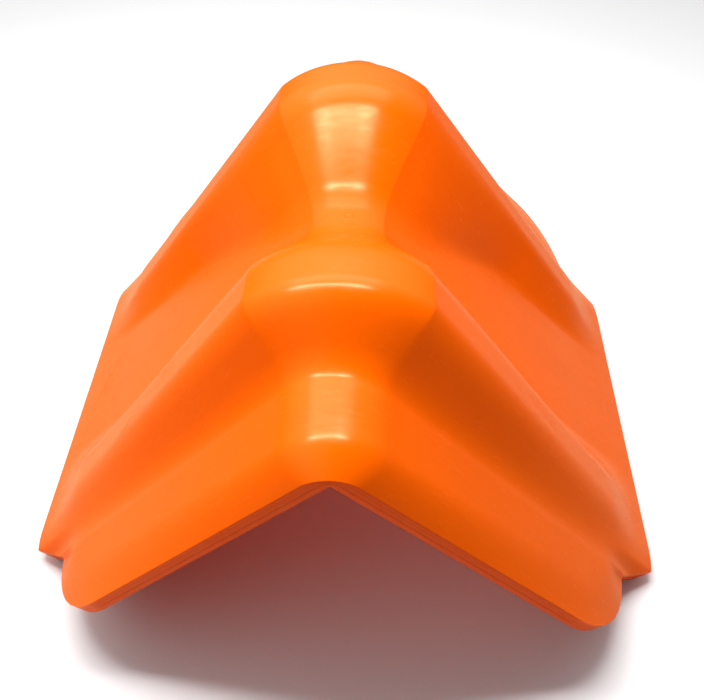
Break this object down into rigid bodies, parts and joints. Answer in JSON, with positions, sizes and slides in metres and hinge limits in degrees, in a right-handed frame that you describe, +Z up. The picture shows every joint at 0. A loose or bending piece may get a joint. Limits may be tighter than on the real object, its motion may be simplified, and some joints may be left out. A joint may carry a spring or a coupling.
{
  "type": "strap corner protector",
  "caption": "Saddle-shaped moulded plastic corner protector that spreads a tie-down strap over a load's edge, with a strap valley between two rounded crests.",
  "frame": {"origin": "centre of the protector's footprint, on the surface it stands on", "axes": "+Z up, Y along the ridge that sits on the load's edge, X across the two legs, the way the strap runs"},
  "size_m": [0.237, 0.218, 0.1402],
  "materials": {
    "shell": "glossy moulded polyethylene, orange, with faint flow marks and scuffs near the feet",
    "liner": "satin moulded polyethylene, orange",
    "webs": "plain moulded polyethylene, orange"
  },
  "bodies": {
    "root": {"saddle_shell": "shell", "load_liner": "liner", "front_stiffener": "webs", "rear_stiffener": "webs"}
  },
  "joints": []
}
